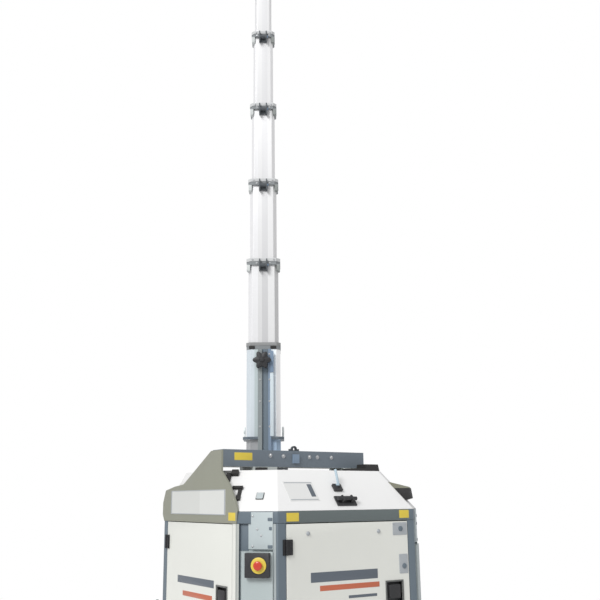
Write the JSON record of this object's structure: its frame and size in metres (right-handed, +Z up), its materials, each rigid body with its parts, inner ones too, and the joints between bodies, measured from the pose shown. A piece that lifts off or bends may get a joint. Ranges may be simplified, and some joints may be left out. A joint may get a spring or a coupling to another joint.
{
  "type": "skid-mounted mobile light tower",
  "caption": "Square skid-mounted light tower with hinged doors, pull-out stabilisers, a turning telescopic mast and tilting LED floodlights.",
  "frame": {"origin": "on the floor under the middle of the square body", "axes": "+Z up, the front door looks along -Y, the end with the grey plate looks along -X"},
  "size_m": [1.21, 1.21, 5.092],
  "materials": {
    "skid_grey": "satin paint",
    "post_grey": "satin paint",
    "rail_grey": "satin paint",
    "cover_blue_grey": "satin paint",
    "door_white": "satin paint",
    "hood_white": "moulded, semi-gloss",
    "end_grey": "satin paint",
    "beam_grey": "satin paint",
    "plate_white": "matte",
    "black_rubber": "matte",
    "black_plastic": "fine grain",
    "stop_red": "gloss",
    "hinge_black": "satin",
    "bearing_grey": "machined and painted",
    "engine_dark": "painted casting",
    "zinc": "zinc plated",
    "mast_silver": "anodised",
    "collar_grey": "anodised dark",
    "lamp_grey": "powder coated"
  },
  "bodies": {
    "chassis": {"skid_frame": "skid_grey", "skid_tubes": "skid_grey", "floor_plate": "skid_grey", "corner_posts": "post_grey", "top_frame": "rail_grey", "corner_covers": "cover_blue_grey", "stop_box": "black_plastic", "stop_button": "stop_red", "socket_box": "black_plastic", "hinge_leaves": "hinge_black", "hood": "hood_white", "end_plate": "end_grey", "blank_plates": "plate_white", "lifting_beam": "beam_grey", "mast_lever": "black_plastic", "rubber_fittings": "black_rubber", "mast_bearings": "bearing_grey", "engine_block": "engine_dark"},
    "door_front": {"door_front": "door_white"},
    "door_right": {"door_right": "door_white"},
    "door_back": {"door_back": "door_white"},
    "door_left": {"door_left": "door_white"},
    "arm_front_left": {"arm_front_left": "post_grey"},
    "leg_front_left": {"leg_front_left": "zinc"},
    "arm_front_right": {"arm_front_right": "post_grey"},
    "leg_front_right": {"leg_front_right": "zinc"},
    "arm_back_right": {"arm_back_right": "post_grey"},
    "leg_back_right": {"leg_back_right": "zinc"},
    "arm_back_left": {"arm_back_left": "post_grey"},
    "leg_back_left": {"leg_back_left": "zinc"},
    "turning_base": {"mast_base": "mast_silver", "mast_base_collar": "collar_grey", "mast_fittings": "collar_grey"},
    "section_1": {"mast_1": "mast_silver", "mast_1_collar": "collar_grey"},
    "section_2": {"mast_2": "mast_silver", "mast_2_collar": "collar_grey"},
    "section_3": {"mast_3": "mast_silver", "mast_3_collar": "collar_grey"},
    "section_4": {"mast_4": "mast_silver", "mast_4_collar": "collar_grey"},
    "section_5": {"mast_5": "mast_silver", "lamp_frame": "mast_silver"},
    "flood_1": {"lamp_1": "lamp_grey"},
    "flood_2": {"lamp_2": "lamp_grey"},
    "flood_3": {"lamp_3": "lamp_grey"},
    "flood_4": {"lamp_4": "lamp_grey"}
  },
  "joints": [
    {"name": "door_front_hinge", "type": "hinge", "parent": "chassis", "child": "door_front", "pos_m": [-0.393, -0.598, 0.7], "axis": [0, 0, -1], "range_deg": [0, 110]},
    {"name": "door_right_hinge", "type": "hinge", "parent": "chassis", "child": "door_right", "pos_m": [0.598, -0.393, 0.7], "axis": [0, 0, -1], "range_deg": [0, 110]},
    {"name": "door_back_hinge", "type": "hinge", "parent": "chassis", "child": "door_back", "pos_m": [0.393, 0.598, 0.7], "axis": [0, 0, -1], "range_deg": [0, 110]},
    {"name": "door_left_hinge", "type": "hinge", "parent": "chassis", "child": "door_left", "pos_m": [-0.598, 0.393, 0.7], "axis": [0, 0, -1], "range_deg": [0, 110]},
    {"name": "arm_front_left_slide", "type": "slide", "parent": "chassis", "child": "arm_front_left", "axis": [-0.7071, -0.7071, 0], "range_m": [0, 0.4]},
    {"name": "jack_front_left", "type": "slide", "parent": "arm_front_left", "child": "leg_front_left", "axis": [0, 0, -1], "range_m": [0, 0.3]},
    {"name": "arm_front_right_slide", "type": "slide", "parent": "chassis", "child": "arm_front_right", "axis": [0.7071, -0.7071, 0], "range_m": [0, 0.4]},
    {"name": "jack_front_right", "type": "slide", "parent": "arm_front_right", "child": "leg_front_right", "axis": [0, 0, -1], "range_m": [0, 0.3]},
    {"name": "arm_back_right_slide", "type": "slide", "parent": "chassis", "child": "arm_back_right", "axis": [0.7071, 0.7071, 0], "range_m": [0, 0.4]},
    {"name": "jack_back_right", "type": "slide", "parent": "arm_back_right", "child": "leg_back_right", "axis": [0, 0, -1], "range_m": [0, 0.3]},
    {"name": "arm_back_left_slide", "type": "slide", "parent": "chassis", "child": "arm_back_left", "axis": [-0.7071, 0.7071, 0], "range_m": [0, 0.4]},
    {"name": "jack_back_left", "type": "slide", "parent": "arm_back_left", "child": "leg_back_left", "axis": [0, 0, -1], "range_m": [0, 0.3]},
    {"name": "mast_turn", "type": "hinge", "parent": "chassis", "child": "turning_base", "pos_m": [-0.087, 0.14, 1.5], "axis": [0, 0, 1], "range_deg": [-170, 170]},
    {"name": "mast_lift_1", "type": "slide", "parent": "turning_base", "child": "section_1", "axis": [0, 0, 1], "range_m": [-0.447, 0.57]},
    {"name": "mast_lift_2", "type": "slide", "parent": "section_1", "child": "section_2", "axis": [0, 0, 1], "range_m": [-0.447, 0.57]},
    {"name": "mast_lift_3", "type": "slide", "parent": "section_2", "child": "section_3", "axis": [0, 0, 1], "range_m": [-0.447, 0.57]},
    {"name": "mast_lift_4", "type": "slide", "parent": "section_3", "child": "section_4", "axis": [0, 0, 1], "range_m": [-0.447, 0.57]},
    {"name": "mast_lift_5", "type": "slide", "parent": "section_4", "child": "section_5", "axis": [0, 0, 1], "range_m": [-0.447, 0.57]},
    {"name": "flood_1_tilt", "type": "hinge", "parent": "section_5", "child": "flood_1", "pos_m": [-0.4559, 0.37051, 4.912], "axis": [0.848, -0.5299, 0], "range_deg": [-30, 80]},
    {"name": "flood_2_tilt", "type": "hinge", "parent": "section_5", "child": "flood_2", "pos_m": [-0.29477, 0.26983, 4.912], "axis": [0.848, -0.5299, 0], "range_deg": [-30, 80]},
    {"name": "flood_3_tilt", "type": "hinge", "parent": "section_5", "child": "flood_3", "pos_m": [0.12077, 0.01017, 4.912], "axis": [0.848, -0.5299, 0], "range_deg": [-30, 80]},
    {"name": "flood_4_tilt", "type": "hinge", "parent": "section_5", "child": "flood_4", "pos_m": [0.2819, -0.09051, 4.912], "axis": [0.848, -0.5299, 0], "range_deg": [-30, 80]}
  ],
  "couplings": [
    {"joint": "mast_lift_2", "follows": "mast_lift_1", "ratio": 1},
    {"joint": "mast_lift_3", "follows": "mast_lift_1", "ratio": 1},
    {"joint": "mast_lift_4", "follows": "mast_lift_1", "ratio": 1},
    {"joint": "mast_lift_5", "follows": "mast_lift_1", "ratio": 1}
  ]
}
